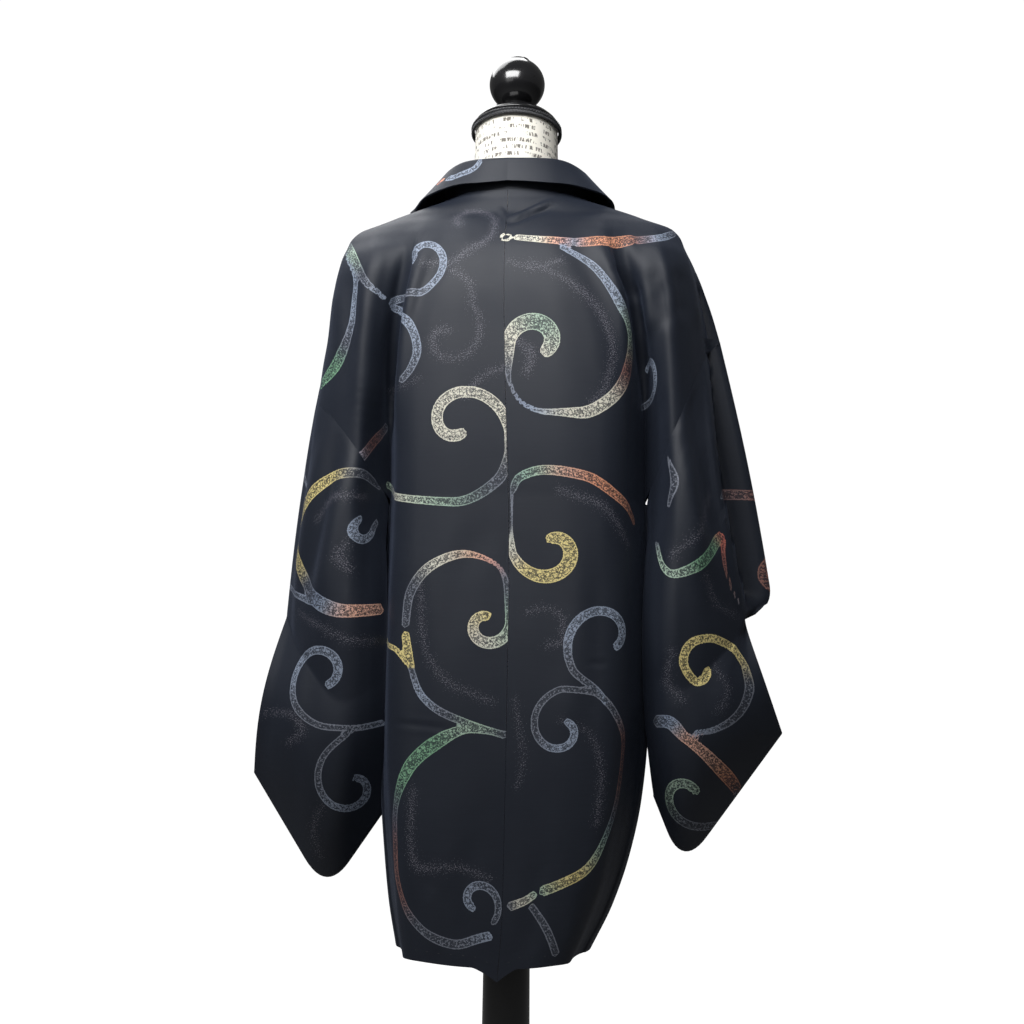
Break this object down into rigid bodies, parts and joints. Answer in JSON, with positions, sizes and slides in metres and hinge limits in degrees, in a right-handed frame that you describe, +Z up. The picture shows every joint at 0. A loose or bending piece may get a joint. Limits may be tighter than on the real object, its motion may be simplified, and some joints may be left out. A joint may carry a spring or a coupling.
{
  "type": "haori jacket on a limbless dress form with a turned stand",
  "caption": "Black silk haori with wide hanging sleeves and a folded collar, draped on a limbless dress form with a round finial, a turned pole and a round base.",
  "frame": {"origin": "centre of the stand's base, on the floor", "axes": "+Z up along the pole, -Y out of the form's chest, +X to the wearer's left"},
  "size_m": [0.6449, 0.36, 1.5721],
  "materials": {
    "black_silk": "soft satin black silk with a woven scroll pattern",
    "pale_cotton": "plain-woven cotton cover",
    "black_lacquer": "gloss black lacquer",
    "black_braid": "matt black braid"
  },
  "bodies": {
    "root": {"body_left": "black_silk", "body_right": "black_silk", "collar": "black_silk", "gusset_left": "black_silk", "gusset_right": "black_silk", "sleeve_left": "black_silk", "sleeve_right": "black_silk", "form_cap": "black_lacquer", "form_disc": "black_lacquer", "form_finial": "black_lacquer", "form_torso": "pale_cotton", "form_trim": "black_braid", "stand_base": "black_lacquer", "stand_pole": "black_lacquer"}
  },
  "joints": []
}
